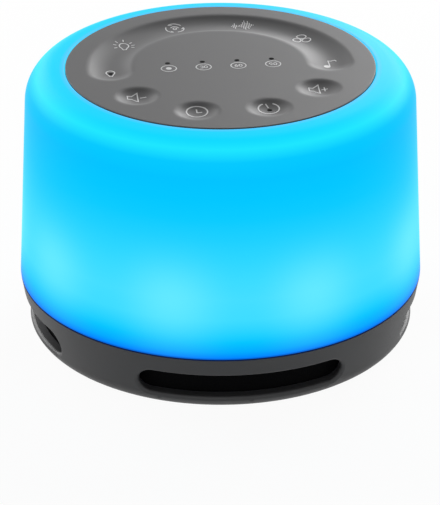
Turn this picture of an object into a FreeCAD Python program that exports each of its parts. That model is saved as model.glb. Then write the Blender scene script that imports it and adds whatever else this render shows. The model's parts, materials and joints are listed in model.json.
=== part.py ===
"""White noise sound machine with a glowing shade, as an assembly of its real pieces.

The frame stands on its rubber feet at Z = 0, with +Z up, the axis of the round housing on
the Z axis and the front (the control side) towards -Y. All sizes are in millimetres.
"""

import FreeCAD, Part
import math
import os

import Sketcher

doc = FreeCAD.newDocument("SoundMachine")

# Driving dimensions

DIMENSIONS = {
    # Stand and base housing
    "foot_drop": 0.8,
    "floor_thick": 2.0,
    "base_low_rad": 53.26,
    "base_top_rad": 55.94,
    "base_bend": 4.8,
    "base_wall": 3.2,
    "seam_z": 17.2,
    "lap_drop": 1.8,
    "lap_wall": 1.8,
    # Sound slots
    "slot_half": 27.0,
    "slot_low": 5.0,
    "slot_high": 12.1,
    "slot_lip": 0.9,
    "screen_rad": 50.1,
    "screen_thick": 0.5,
    # Fixings under the feet
    "pillar_offset": 26.87,
    "boss_rad": 5.6,
    "boss_top": 5.3,
    "foot_rad": 5.0,
    "foot_thick": 1.6,
    "foot_clear": 0.2,
    "screw_head_rad": 2.5,
    "screw_head_tall": 1.8,
    "screw_rad": 1.3,
    "screw_pilot": 1.35,
    "head_clear": 0.2,
    "shank_clear": 0.15,
    "small_head_rad": 2.2,
    "small_head_tall": 1.2,
    "small_shank_rad": 1.0,
    "small_pilot": 1.05,
    "small_clear": 1.3,
    "small_bite": 3.6,
    "base_screw_top": 14.0,
    # Shade
    "shade_gap": 0.3,
    "shade_rad": 56.0,
    "shade_wall": 2.0,
    "shoulder_rad": 52.74,
    "shoulder_z": 76.3,
    "shoulder_bend": 9.0,
    "lip_rad": 42.1,
    "top_z": 77.8,
    "ledge_rad": 39.6,
    "tongue_in": 52.2,
    "tongue_out": 53.9,
    # Touch panel
    "panel_rad": 41.85,
    "panel_thick": 2.4,
    "panel_edge": 0.35,
    "dimple_rad": 5.8,
    "side_dimple_ring": 30.5,
    "front_dimple_ring": 31.2,
    "dimple_deep": 1.4,
    "brim_bend": 4.0,
    "groove_ring": 29.9,
    "groove_half": 5.8,
    "groove_end": 92.85,
    "pinhole_rad": 0.62,
    "light_pocket": 1.6,
    "light_pocket_deep": 0.7,
    "indicator_long": 1.6,
    "indicator_wide": 0.8,
    "indicator_tall": 0.7,
    "timer_pitch": 9.45,
    "timer_y": 2.5,
    "tape_thick": 0.3,
    "touch_rad": 37.5,
    "touch_thick": 1.2,
    # Speaker deck
    "deck_low": 14.9,
    "deck_top": 17.0,
    "deck_rad": 52.0,
    "deck_hole": 22.0,
    "pillar_rad": 4.0,
    "post_ring": 23.3,
    "post_rad": 2.5,
    "lead_hole": 1.7,
    "lead_ring": 37.3,
    "strip_hole_x": 48.4,
    # Light core
    "core_low_rad": 44.5,
    "core_top_rad": 38.9,
    "core_wall": 1.6,
    "core_top": 73.4,
    "core_flange": 47.0,
    "flange_thick": 1.6,
    "core_screw_ring": 45.75,
    "core_head_rad": 1.2,
    "core_head_tall": 1.0,
    "core_ledge": 5.0,
    # Light ring
    "strip_in": 47.4,
    "strip_out": 51.6,
    "strip_thick": 1.2,
    "lamp_count": 9,
    "lamp_ring": 49.5,
    "lamp_side": 3.4,
    "lamp_tall": 1.4,
    "lens_rad": 1.3,
    "lens_deep": 0.5,
    # Loudspeaker
    "rim_rad": 28.5,
    "rim_low": 17.5,
    "rim_thick": 1.0,
    "rim_screw_ring": 26.8,
    "gasket_in": 23.2,
    "bowl_top_rad": 14.5,
    "bowl_top": 30.5,
    "bowl_wall": 0.8,
    "magnet_rad": 17.5,
    "plate_rad": 16.8,
    "plate_hole": 8.95,
    "plate_top": 32.0,
    "magnet_in": 9.8,
    "magnet_top": 38.0,
    "yoke_top": 40.0,
    "pole_rad": 7.5,
    "pole_low": 30.8,
    "coil_in": 8.0,
    "former_out": 8.25,
    "winding_out": 8.6,
    "former_low": 24.8,
    "former_top": 34.0,
    "winding_low": 29.3,
    "winding_top": 33.3,
    "cone_edge_rad": 19.6,
    "cone_paper": 0.5,
    "roll_out": 23.0,
    "roll_dip": 1.5,
    "spider_out": 15.2,
    "spider_z": 26.8,
    "spider_thick": 0.35,
    # Main board
    "board_z": 47.0,
    "board_thick": 1.6,
    "board_rad": 35.0,
    "ribbon_y": -28.0,
    # Power inlet
    "inlet_z": 9.5,
    "inlet_board_low": 6.9,
    "inlet_board_thick": 1.0,
    "inlet_post_x": 6.5,
    "inlet_post_y": 38.5,
    "inlet_post_rad": 2.2,
    "inlet_hole_rad": 1.2,
    "inlet_half": 9.0,
    "inlet_front_y": 35.0,
    "inlet_bevel_y": 46.5,
    "inlet_nose_half": 5.2,
    "inlet_nose_y": 48.9,
    "port_wide": 12.6,
    "port_tall": 6.8,
    "shell_wide": 8.94,
    "shell_tall": 3.2,
    "shell_long": 7.3,
    "shell_face": 51.9,
    "shell_wall": 0.3,
    "plate_face": 50.0,
}

sheet = doc.addObject("Spreadsheet::Sheet", "Dim")
for row, (alias, size) in enumerate(DIMENSIONS.items(), start=1):
    sheet.set(f"A{row}", alias)
    sheet.set(f"B{row}", str(size))
    sheet.setAlias(f"B{row}", alias)
doc.recompute()

NODES = {}
RECESS_WIDE = 0.5


def measure(expression):
    """The present value of an expression on the sheet."""
    return float(sheet.evalExpression(str(expression)))


def keep(label, item):
    """Give a finished sub-part the label that names its file."""
    item.Label = label
    NODES[label] = item
    return item


# Sketch and feature helpers


def new_body(label):
    """An empty body."""
    return keep(label, doc.addObject("PartDesign::Body", label))


def plane_of(body, role):
    """One of the body's own origin planes."""
    return next(item for item in body.Origin.OriginFeatures if item.Role == role)


def new_sketch(body, name, role, lift="0"):
    """A sketch on an origin plane, lifted along the plane's normal."""
    sketch = body.newObject("Sketcher::SketchObject", name)
    sketch.AttachmentSupport = [(plane_of(body, role), "")]
    sketch.MapMode = "FlatFace"
    sketch.setExpression("AttachmentOffset.Base.z", str(lift))
    doc.recompute()
    return sketch


def bind_point(sketch, curve, end, across, up):
    """Tie one end of a curve to a place given by two expressions."""
    for kind, size in (("DistanceX", across), ("DistanceY", up)):
        index = sketch.addConstraint(Sketcher.Constraint(kind, -1, 1, curve, end, measure(size)))
        sketch.setExpression(f"Constraints[{index}]", str(size))


def outline(body, name, corners, role="XZ_Plane", lift="0"):
    """A closed outline of straight lines through corners given by expressions."""
    sketch = new_sketch(body, name, role, lift)
    places = [FreeCAD.Vector(measure(across), measure(up), 0) for across, up in corners]
    for index, start in enumerate(places):
        finish = places[(index + 1) % len(places)]
        sketch.addGeometry(Part.LineSegment(start, finish), False)
    for index in range(len(places)):
        following = (index + 1) % len(places)
        sketch.addConstraint(Sketcher.Constraint("Coincident", index, 2, following, 1))
    for index, (across, up) in enumerate(corners):
        bind_point(sketch, index, 1, across, up)
    doc.recompute()
    return sketch


def circles(body, name, rounds, role="XY_Plane", lift="0"):
    """A sketch of circles, each given by its centre and radius."""
    sketch = new_sketch(body, name, role, lift)
    for across, up, radius in rounds:
        centre = FreeCAD.Vector(measure(across), measure(up), 0)
        circle = Part.Circle(centre, FreeCAD.Vector(0, 0, 1), measure(radius))
        curve = sketch.addGeometry(circle, False)
        bind_point(sketch, curve, 3, across, up)
        index = sketch.addConstraint(Sketcher.Constraint("Radius", curve, measure(radius)))
        sketch.setExpression(f"Constraints[{index}]", str(radius))
    doc.recompute()
    return sketch


def stadium(body, name, half, low, high, role):
    """A sketch of a long slot with round ends, from -half to half across."""
    sketch = new_sketch(body, name, role)
    radius = (measure(high) - measure(low)) / 2
    reach = measure(half) - radius
    middle = (measure(high) + measure(low)) / 2
    normal = FreeCAD.Vector(0, 0, 1)
    quarter = math.pi / 2
    right = Part.Circle(FreeCAD.Vector(reach, middle, 0), normal, radius)
    left = Part.Circle(FreeCAD.Vector(-reach, middle, 0), normal, radius)
    sketch.addGeometry(Part.ArcOfCircle(right, -quarter, quarter), False)
    sketch.addGeometry(
        Part.LineSegment(
            FreeCAD.Vector(reach, middle + radius, 0), FreeCAD.Vector(-reach, middle + radius, 0)
        ),
        False,
    )
    sketch.addGeometry(Part.ArcOfCircle(left, quarter, 3 * quarter), False)
    sketch.addGeometry(
        Part.LineSegment(
            FreeCAD.Vector(-reach, middle - radius, 0), FreeCAD.Vector(reach, middle - radius, 0)
        ),
        False,
    )
    for curve in range(4):
        sketch.addConstraint(Sketcher.Constraint("Tangent", curve, 2, (curve + 1) % 4, 1))
    radius_words = f"(({high}) - ({low})) / 2"
    middle_words = f"(({high}) + ({low})) / 2"
    bind_point(sketch, 0, 3, f"({half}) - {radius_words}", middle_words)
    bind_point(sketch, 2, 3, f"{radius_words} - ({half})", middle_words)
    index = sketch.addConstraint(Sketcher.Constraint("Radius", 0, radius))
    sketch.setExpression(f"Constraints[{index}]", radius_words)
    doc.recompute()
    return sketch


def revolve(body, name, corners):
    """Turn a closed outline, given as radius and height, round the upright axis."""
    sketch = outline(body, name + "_outline", corners)
    turned = body.newObject("PartDesign::Revolution", name)
    turned.Profile = sketch
    turned.ReferenceAxis = (sketch, ["V_Axis"])
    turned.Angle = 360
    doc.recompute()
    return turned


def turned_body(label, corners):
    """A body that is one turned outline."""
    body = new_body(label)
    revolve(body, label + "_turned", corners)
    return body


def pad(body, name, sketch, length, reverse=False):
    """Raise a sketch by a length along its normal."""
    feature = body.newObject("PartDesign::Pad", name)
    feature.Profile = sketch
    feature.setExpression("Length", str(length))
    feature.Reversed = reverse
    doc.recompute()
    return feature


def pocket(body, name, sketch, length, reverse=False, midplane=False):
    """Cut a sketch into the body and make sure that it took material away."""
    before = body.Shape.Volume
    feature = body.newObject("PartDesign::Pocket", name)
    feature.Profile = sketch
    feature.setExpression("Length", str(length))
    feature.Reversed = reverse
    feature.Midplane = midplane
    doc.recompute()
    if body.Shape.Volume > before - 0.01:
        raise ValueError(f"{name} cuts nothing")
    return feature


def polar(body, name, features, count, span=360):
    """Repeat features evenly round the upright axis."""
    pattern = body.newObject("PartDesign::PolarPattern", name)
    pattern.Originals = features
    axis = next(item for item in body.Origin.OriginFeatures if item.Role == "Z_Axis")
    pattern.Axis = (axis, [""])
    pattern.Angle = span
    pattern.Occurrences = count
    body.Tip = pattern
    doc.recompute()
    return pattern


def hollow(body, name, kind, sizes, x="0", y="0", z="0", turn="0"):
    """Take a turned form out of the body, and make sure that it took material away."""
    before = body.Shape.Volume
    feature = body.newObject("PartDesign::Subtractive" + kind, name)
    feature.AttachmentSupport = [(plane_of(body, "XY_Plane"), "")]
    feature.MapMode = "FlatFace"
    feature.AttachmentOffset = FreeCAD.Placement(
        FreeCAD.Vector(), FreeCAD.Rotation(FreeCAD.Vector(0, 0, 1), measure(turn))
    )
    for axis, size in (("x", x), ("y", y), ("z", z)):
        feature.setExpression(f"AttachmentOffset.Base.{axis}", size)
    for key, size in sizes.items():
        feature.setExpression(key, size)
    doc.recompute()
    if body.Shape.Volume > before - 0.01:
        raise ValueError(f"{name} cuts nothing")
    return feature


def edges_where(shape, test):
    """Names of the edges whose middle and length pass a test."""
    names = []
    for index, edge in enumerate(shape.Edges, start=1):
        middle = edge.valueAt((edge.FirstParameter + edge.LastParameter) / 2)
        if test(edge, middle):
            names.append(f"Edge{index}")
    return names


def ring_edges(shape, radius, height):
    """Names of the round edges at a radius and height."""

    def is_ring(edge, middle):
        """True where an edge lies at that radius and height."""
        far = math.hypot(middle.x, middle.y)
        return abs(far - measure(radius)) < 0.05 and abs(middle.z - measure(height)) < 0.05

    return edges_where(shape, is_ring)


def fillet(body, name, base, names, radius):
    """Round the named edges of a body's last feature."""
    if not names:
        raise ValueError(f"{name} found no edge")
    feature = body.newObject("PartDesign::Fillet", name)
    feature.Base = (base, names)
    feature.setExpression("Radius", str(radius))
    doc.recompute()
    return feature


# Primitive helpers


def place(item, x=0, y=0, z=0, turn=0):
    """Move an item to a place given by expressions, turned round the upright axis."""
    item.Placement.Rotation = FreeCAD.Rotation(FreeCAD.Vector(0, 0, 1), turn)
    for axis, size in (("x", x), ("y", y), ("z", z)):
        item.setExpression(f"Placement.Base.{axis}", str(size))
    return item


def cylinder(name, radius, height, x=0, y=0, z=0):
    """An upright cylinder."""
    item = doc.addObject("Part::Cylinder", name)
    item.setExpression("Radius", str(radius))
    item.setExpression("Height", str(height))
    return place(item, x, y, z)


def block(name, size, x=0, y=0, z=0, turn=0):
    """A box with its lowest corner at a place, turned round the upright axis there."""
    item = doc.addObject("Part::Box", name)
    for side, length in zip(("Length", "Width", "Height"), size):
        item.setExpression(side, str(length))
    return place(item, x, y, z, turn)


def join(name, items):
    """One solid from several."""
    item = doc.addObject("Part::MultiFuse", name)
    item.Shapes = items
    return item


def cut(name, base, tool):
    """One solid less another."""
    item = doc.addObject("Part::Cut", name)
    item.Base = base
    item.Tool = tool
    return item


def group(label, items):
    """Several like pieces as one node of separate solids."""
    item = doc.addObject("Part::Compound", label)
    item.Links = items
    return keep(label, item)


def on_ring(ring, angle):
    """A place on a ring whose radius is an expression, at an angle in degrees."""
    turn = math.radians(angle)
    return f"{math.cos(turn)} * {ring}", f"{math.sin(turn)} * {ring}"


def screws(label, places, head_rad, head_tall, shank_rad, low, high, head_down):
    """Screws that share a node, each with a round head, a cross recess and a plain shank."""
    solids = []
    for number, (across, along) in enumerate(places):
        head_z = low if head_down else f"{high} - {head_tall}"
        shank_z = f"{low} + {head_tall}" if head_down else low
        shank_tall = f"{high} - ({low}) - {head_tall}"
        head = cylinder(f"{label}_head_{number}", head_rad, head_tall, across, along, head_z)
        shank = cylinder(f"{label}_shank_{number}", shank_rad, shank_tall, across, along, shank_z)
        whole = join(f"{label}_whole_{number}", [head, shank])
        deep = f"{head_tall} / 2"
        face_z = low if head_down else f"{high} - {deep}"
        arms = []
        arm_sizes = {"wide": (head_rad, RECESS_WIDE, deep), "long": (RECESS_WIDE, head_rad, deep)}
        for name, size in arm_sizes.items():
            arm_x = f"{across} - {size[0]} / 2"
            arm_y = f"{along} - {size[1]} / 2"
            arms.append(block(f"{label}_{name}_{number}", size, arm_x, arm_y, face_z))
        recess = join(f"{label}_recess_{number}", arms)
        solids.append(cut(f"{label}_screw_{number}", whole, recess))
    return group(label, solids)


def small_screws(label, places, low, high):
    """Small screws with their heads up that share a node."""
    sizes = ("Dim.small_head_rad", "Dim.small_head_tall", "Dim.small_shank_rad")
    return screws(label, places, *sizes, low, high, head_down=False)


def cable(label, routes, radius, bend):
    """Insulated wires that share a node, each along straight runs joined by tangent arcs."""
    wires = []
    for route in routes:
        points = [FreeCAD.Vector(*point) for point in route]
        edges = []
        start = points[0]
        for before, corner, after in zip(points, points[1:], points[2:]):
            back = (before - corner).normalize()
            ahead = (after - corner).normalize()
            half = back.getAngle(ahead) / 2
            reach = bend / math.tan(half)
            first = corner + back * reach
            last = corner + ahead * reach
            inward = (back + ahead).normalize()
            centre = corner + inward * (bend / math.sin(half))
            middle = centre - inward * bend
            edges.append(Part.LineSegment(start, first).toShape())
            edges.append(Part.Arc(first, middle, last).toShape())
            start = last
        edges.append(Part.LineSegment(start, points[-1]).toShape())
        path = Part.Wire(edges)
        section = Part.Wire([Part.makeCircle(radius, points[0], points[1] - points[0])])
        tube = path.makePipeShell([section], True, False)
        share = tube.Volume / (math.pi * radius**2 * path.Length)
        if abs(share - 1) > 0.01:
            raise ValueError(f"{label} has {share:.3f} of the volume that its route needs")
        wires.append(tube)
    item = doc.addObject("Part::Feature", label)
    item.Shape = Part.makeCompound(wires)
    return keep(label, item)


# Places shared by several pieces

SIGNS = ((-1, -1), (-1, 1), (1, -1), (1, 1))
RIM_TURNS = (45, 135, 225, 315)
CORE_TURNS = (30, 150, 210, 330)
corner_spots = [(f"{sx} * Dim.pillar_offset", f"{sy} * Dim.pillar_offset") for sx, sy in SIGNS]
post_spots = [(f"{sx} * Dim.post_ring", f"{sy} * Dim.post_ring") for sx, sy in SIGNS]
rim_spots = [on_ring("Dim.rim_screw_ring", turn) for turn in RIM_TURNS]
core_spots = [on_ring("Dim.core_screw_ring", turn) for turn in CORE_TURNS]
inlet_post_spots = [(f"{side} * Dim.inlet_post_x", "Dim.inlet_post_y") for side in (-1, 1)]

# Base housing: a cup with a sound slot in front and at each side, and the inlet at the back

base_slope = "(Dim.base_top_rad - Dim.base_low_rad) / (Dim.seam_z - Dim.foot_drop)"
base_floor = "Dim.foot_drop + Dim.floor_thick"
lap_low = "Dim.seam_z - Dim.lap_drop"
base = new_body("base_housing")
base_cup = revolve(
    base,
    "base_cup",
    [
        ("0", "Dim.foot_drop"),
        ("Dim.base_low_rad", "Dim.foot_drop"),
        ("Dim.base_top_rad", "Dim.seam_z"),
        ("Dim.base_top_rad - Dim.lap_wall", "Dim.seam_z"),
        (f"Dim.base_top_rad - Dim.lap_wall - {base_slope} * Dim.lap_drop", lap_low),
        (f"Dim.base_top_rad - Dim.base_wall - {base_slope} * Dim.lap_drop", lap_low),
        (f"Dim.base_low_rad - Dim.base_wall + {base_slope} * Dim.floor_thick", base_floor),
        ("0", base_floor),
    ],
)
foot_ring = ring_edges(base.Shape, "Dim.base_low_rad", "Dim.foot_drop")
fillet(base, "base_round", base_cup, foot_ring, "Dim.base_bend")
boss_sketch = circles(
    base, "boss_circles", [(x, y, "Dim.boss_rad") for x, y in corner_spots], lift=base_floor
)
pad(base, "screw_bosses", boss_sketch, f"Dim.boss_top - ({base_floor})")
foot_sketch = circles(
    base,
    "foot_circles",
    [(x, y, "Dim.foot_rad + Dim.foot_clear") for x, y in corner_spots],
    lift="Dim.foot_drop",
)
pocket(base, "foot_recesses", foot_sketch, "Dim.foot_thick - Dim.foot_drop", reverse=True)
head_low = "Dim.foot_thick"
head_holes = [(x, y, "Dim.screw_head_rad + Dim.head_clear") for x, y in corner_spots]
head_sketch = circles(base, "head_circles", head_holes, lift=head_low)
pocket(base, "head_recesses", head_sketch, "Dim.screw_head_tall + 0.1", reverse=True)
shank_holes = [(x, y, "Dim.screw_rad + Dim.shank_clear") for x, y in corner_spots]
shank_sketch = circles(base, "shank_circles", shank_holes, lift=head_low)
pocket(base, "shank_holes", shank_sketch, "Dim.boss_top", reverse=True)
slot_sizes = ("Dim.slot_half", "Dim.slot_low", "Dim.slot_high")
front_slot = stadium(base, "front_slot_shape", *slot_sizes, "XZ_Plane")
pocket(base, "front_slot", front_slot, "Dim.shade_rad + 5", reverse=True)
side_slot = stadium(base, "side_slot_shape", *slot_sizes, "YZ_Plane")
pocket(base, "side_slots", side_slot, "2 * Dim.shade_rad + 10", midplane=True)
port_shape = stadium(
    base,
    "port_shape",
    "Dim.port_wide / 2",
    "Dim.inlet_z - Dim.port_tall / 2",
    "Dim.inlet_z + Dim.port_tall / 2",
    "XZ_Plane",
)
port_cut = pocket(base, "port_opening", port_shape, "Dim.shade_rad + 5")


def is_slot_lip(edge, middle):
    """True for an edge where a sound slot breaks through the outside of the base."""
    z = middle.z
    in_slot = measure("Dim.slot_low") - 0.1 < z < measure("Dim.slot_high") + 0.1
    outside = measure(f"Dim.base_low_rad + ({base_slope}) * ({z} - Dim.foot_drop)")
    near_skin = abs(math.hypot(middle.x, middle.y) - outside) < 0.05
    at_port = middle.y > 0 and abs(middle.x) < measure("Dim.port_wide")
    return in_slot and near_skin and not at_port


fillet(base, "slot_lips", port_cut, edges_where(base.Shape, is_slot_lip), "Dim.slot_lip")

# Feet: rubber discs glued over the base screws

feet = [
    cylinder(f"foot_{number}", "Dim.foot_rad", "Dim.foot_thick", x, y, 0)
    for number, (x, y) in enumerate(corner_spots)
]
group("rubber_feet", feet)
screws(
    "base_screws",
    corner_spots,
    "Dim.screw_head_rad",
    "Dim.screw_head_tall",
    "Dim.screw_rad",
    "Dim.foot_thick + 0.05",
    "Dim.base_screw_top",
    head_down=True,
)

# Dust screen: a ring of black mesh standing behind the sound slots, open at the inlet

screen = turned_body(
    "dust_screen",
    [
        ("Dim.screen_rad - Dim.screen_thick", base_floor),
        ("Dim.screen_rad", base_floor),
        ("Dim.screen_rad", "Dim.deck_low"),
        ("Dim.screen_rad - Dim.screen_thick", "Dim.deck_low"),
    ],
)
screen_gap = outline(
    screen,
    "screen_gap_shape",
    [
        ("-Dim.port_wide", "0"),
        ("Dim.port_wide", "0"),
        ("Dim.port_wide", "Dim.deck_top"),
        ("-Dim.port_wide", "Dim.deck_top"),
    ],
)
pocket(screen, "screen_gap", screen_gap, "Dim.shade_rad + 5")

# Speaker deck: carries the speaker, the light ring, the light core and the boards

deck = new_body("speaker_deck")
revolve(
    deck,
    "deck_plate",
    [
        ("Dim.deck_hole", "Dim.deck_low"),
        ("Dim.deck_rad", "Dim.deck_low"),
        ("Dim.deck_rad", "Dim.deck_top"),
        ("Dim.deck_hole", "Dim.deck_top"),
    ],
)
pillar_sketch = circles(
    deck, "pillar_circles", [(x, y, "Dim.pillar_rad") for x, y in corner_spots], lift="Dim.boss_top"
)
pad(deck, "pillars", pillar_sketch, "Dim.deck_low + 0.5 - Dim.boss_top")
post_sketch = circles(
    deck, "post_circles", [(x, y, "Dim.post_rad") for x, y in post_spots], lift="Dim.deck_low"
)
pad(deck, "board_posts", post_sketch, "Dim.board_z - Dim.deck_low")
inlet_top = "Dim.inlet_board_low + Dim.inlet_board_thick"
inlet_post_sketch = circles(
    deck,
    "inlet_post_circles",
    [(x, y, "Dim.inlet_post_rad") for x, y in inlet_post_spots],
    lift=inlet_top,
)
pad(deck, "inlet_posts", inlet_post_sketch, f"Dim.deck_low + 0.5 - ({inlet_top})")
low_pilots = circles(
    deck, "pillar_pilots", [(x, y, "Dim.screw_pilot") for x, y in corner_spots], lift="Dim.boss_top"
)
pocket(deck, "pillar_holes", low_pilots, "Dim.base_screw_top + 0.4 - Dim.boss_top", reverse=True)
PILOT_HOLES = (
    ("post", post_spots, "Dim.board_z", "6.5", False),
    ("inlet", inlet_post_spots, inlet_top, "5.5", True),
    ("rim", rim_spots, "Dim.deck_top", "Dim.small_bite + 0.4", False),
    ("core", core_spots, "Dim.deck_top", "Dim.small_bite + 0.4", False),
)
for name, spots, lift, deep, upward in PILOT_HOLES:
    pilots = circles(deck, name + "_pilots", [(x, y, "Dim.small_pilot") for x, y in spots], lift=lift)
    pocket(deck, name + "_holes", pilots, deep, reverse=upward)
lead_holes = circles(
    deck,
    "lead_hole_circles",
    [
        ("Dim.lead_ring", "0", "Dim.lead_hole"),
        ("Dim.strip_hole_x", "0", "Dim.lead_hole"),
        ("0", "Dim.lead_ring", "Dim.lead_hole"),
    ],
    lift="Dim.deck_top",
)
pocket(deck, "lead_holes", lead_holes, "5")

# Shade: one translucent moulding, straight-walled with a round shoulder

shade_low = "Dim.seam_z + Dim.shade_gap"
ledge_top = "Dim.top_z - Dim.panel_thick"
shade = new_body("glow_shade")
shade_turned = revolve(
    shade,
    "shade_wall",
    [
        ("Dim.shade_rad", shade_low),
        ("Dim.shoulder_rad", "Dim.shoulder_z"),
        ("Dim.lip_rad", "Dim.top_z"),
        ("Dim.lip_rad", ledge_top),
        ("Dim.ledge_rad", ledge_top),
        ("Dim.ledge_rad", f"{ledge_top} - 1.6"),
        ("Dim.shoulder_rad - Dim.shade_wall", "Dim.shoulder_z - Dim.shade_wall - 0.5"),
        ("Dim.shade_rad - Dim.shade_wall", f"{shade_low} + 2.4"),
        ("Dim.tongue_in", f"{shade_low} + 0.6"),
        ("Dim.tongue_in", f"{shade_low} - Dim.lap_drop + 0.1"),
        ("Dim.tongue_out", f"{shade_low} - Dim.lap_drop + 0.1"),
        ("Dim.tongue_out", shade_low),
    ],
)
shade_outer = fillet(
    shade,
    "shoulder_outside",
    shade_turned,
    ring_edges(shade.Shape, "Dim.shoulder_rad", "Dim.shoulder_z"),
    "Dim.shoulder_bend",
)
fillet(
    shade,
    "shoulder_inside",
    shade_outer,
    ring_edges(
        shade.Shape, "Dim.shoulder_rad - Dim.shade_wall", "Dim.shoulder_z - Dim.shade_wall - 0.5"
    ),
    "Dim.shoulder_bend - Dim.shade_wall",
)

# Touch panel: one disc with finger dimples, a long finger groove and pinholes for lights

panel_low = "Dim.top_z - Dim.panel_thick"
panel = new_body("touch_panel")
panel_disc = revolve(
    panel,
    "panel_disc",
    [
        ("0", panel_low),
        ("Dim.panel_rad", panel_low),
        ("Dim.panel_rad", "Dim.top_z"),
        ("0", "Dim.top_z"),
    ],
)
fillet(
    panel,
    "panel_edge_round",
    panel_disc,
    ring_edges(panel.Shape, "Dim.panel_rad", "Dim.top_z"),
    "Dim.panel_edge",
)
SIDE_DIMPLE_TURN = 52.5
FRONT_DIMPLE_TURN = 17.6
dimple_spots = [
    on_ring("Dim.side_dimple_ring", -90 - SIDE_DIMPLE_TURN),
    on_ring("Dim.front_dimple_ring", -90 - FRONT_DIMPLE_TURN),
    on_ring("Dim.front_dimple_ring", -90 + FRONT_DIMPLE_TURN),
    on_ring("Dim.side_dimple_ring", -90 + SIDE_DIMPLE_TURN),
]


def bowl_sizes(half):
    """The radius, and the height of its centre, of a round bowl that is as wide as a dimple."""
    radius = f"({half} ^ 2 + Dim.dimple_deep ^ 2) / (2 * Dim.dimple_deep)"
    return radius, f"Dim.top_z - Dim.dimple_deep + {radius}"


dimple_bowl, dimple_z = bowl_sizes("Dim.dimple_rad")
for number, (x, y) in enumerate(dimple_spots):
    hollow(panel, f"dimple_{number}", "Sphere", {"Radius": dimple_bowl}, x, y, dimple_z)
groove_bowl, groove_z = bowl_sizes("Dim.groove_half")
groove_sizes = {
    "Radius1": "Dim.groove_ring",
    "Radius2": groove_bowl,
    "Angle3": "2 * Dim.groove_end",
}
hollow(panel, "groove", "Torus", groove_sizes, z=groove_z, turn="90 - Dim.groove_end")
groove_end_x = "Dim.groove_ring * sin(Dim.groove_end * 1deg)"
groove_end_y = "Dim.groove_ring * cos(Dim.groove_end * 1deg)"
for side, name in ((-1, "left"), (1, "right")):
    end_x = f"{side} * {groove_end_x}"
    end = hollow(
        panel, f"groove_{name}_end", "Sphere", {"Radius": groove_bowl}, end_x, groove_end_y, groove_z
    )


def is_brim(edge, middle):
    """True for an edge round the brim of a dimple or the groove."""
    on_top = abs(middle.z - measure("Dim.top_z")) < 0.01
    return on_top and math.hypot(middle.x, middle.y) < measure("Dim.panel_rad") - 2


fillet(panel, "soft_brims", end, edges_where(panel.Shape, is_brim), "Dim.brim_bend")

# Pinholes over the indicator lights: four timers, the power light and the small lamp's light

light_spots = [(f"{step} * Dim.timer_pitch", "Dim.timer_y") for step in (-1.5, -0.5, 0.5, 1.5)]
light_spots.append(dimple_spots[2])
light_spots.append((f"-{groove_end_x}", groove_end_y))
pinholes = circles(
    panel, "pinhole_circles", [(x, y, "Dim.pinhole_rad") for x, y in light_spots], lift="Dim.top_z"
)
pocket(panel, "pinholes", pinholes, "Dim.panel_thick")
pockets = circles(
    panel, "light_pocket_circles", [(x, y, "Dim.light_pocket") for x, y in light_spots], lift=panel_low
)
pocket(panel, "light_pockets", pockets, "Dim.light_pocket_deep", reverse=True)

# Under the panel: sticky film, touch board, indicator lights and the ribbon's two sockets

tape_low = f"{panel_low} - Dim.tape_thick"
touch_low = f"{tape_low} - Dim.touch_thick"
film = turned_body(
    "panel_film",
    [("0", tape_low), ("Dim.touch_rad", tape_low), ("Dim.touch_rad", panel_low), ("0", panel_low)],
)
film_holes = circles(
    film, "film_hole_circles", [(x, y, "Dim.light_pocket") for x, y in light_spots], lift=panel_low
)
pocket(film, "film_holes", film_holes, "Dim.tape_thick")
turned_body(
    "touch_board",
    [("0", touch_low), ("Dim.touch_rad", touch_low), ("Dim.touch_rad", tape_low), ("0", tape_low)],
)
indicator_size = ("Dim.indicator_long", "Dim.indicator_wide", "Dim.indicator_tall")
indicator_solids = []
for number, (x, y) in enumerate(light_spots):
    corner = (f"{x} - Dim.indicator_long / 2", f"{y} - Dim.indicator_wide / 2")
    indicator_solids.append(block(f"indicator_{number}", indicator_size, *corner, tape_low))
group("indicator_lights", indicator_solids)

# Light core: the white cone that carries the panel and throws the light outwards

core = turned_body(
    "light_core",
    [
        ("Dim.core_low_rad - Dim.core_wall", "Dim.deck_top"),
        ("Dim.core_flange", "Dim.deck_top"),
        ("Dim.core_flange", "Dim.deck_top + Dim.flange_thick"),
        ("Dim.core_low_rad", "Dim.deck_top + Dim.flange_thick"),
        ("Dim.core_top_rad", "Dim.core_top"),
        ("Dim.core_top_rad - Dim.core_ledge", "Dim.core_top"),
        ("Dim.core_top_rad - Dim.core_ledge", "Dim.core_top - Dim.core_wall"),
        ("Dim.core_top_rad - Dim.core_wall", "Dim.core_top - Dim.core_wall"),
    ],
)
core_holes = circles(
    core,
    "core_screw_holes",
    [(x, y, "Dim.small_clear") for x, y in core_spots],
    lift="Dim.deck_top + Dim.flange_thick",
)
pocket(core, "core_flange_holes", core_holes, "Dim.flange_thick")
screws(
    "core_screws",
    core_spots,
    "Dim.core_head_rad",
    "Dim.core_head_tall",
    "Dim.small_shank_rad",
    "Dim.deck_top - Dim.small_bite",
    "Dim.deck_top + Dim.flange_thick + Dim.core_head_tall",
    head_down=False,
)

# Light ring: a ring board with nine colour lamps, evenly spaced from the back

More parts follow.
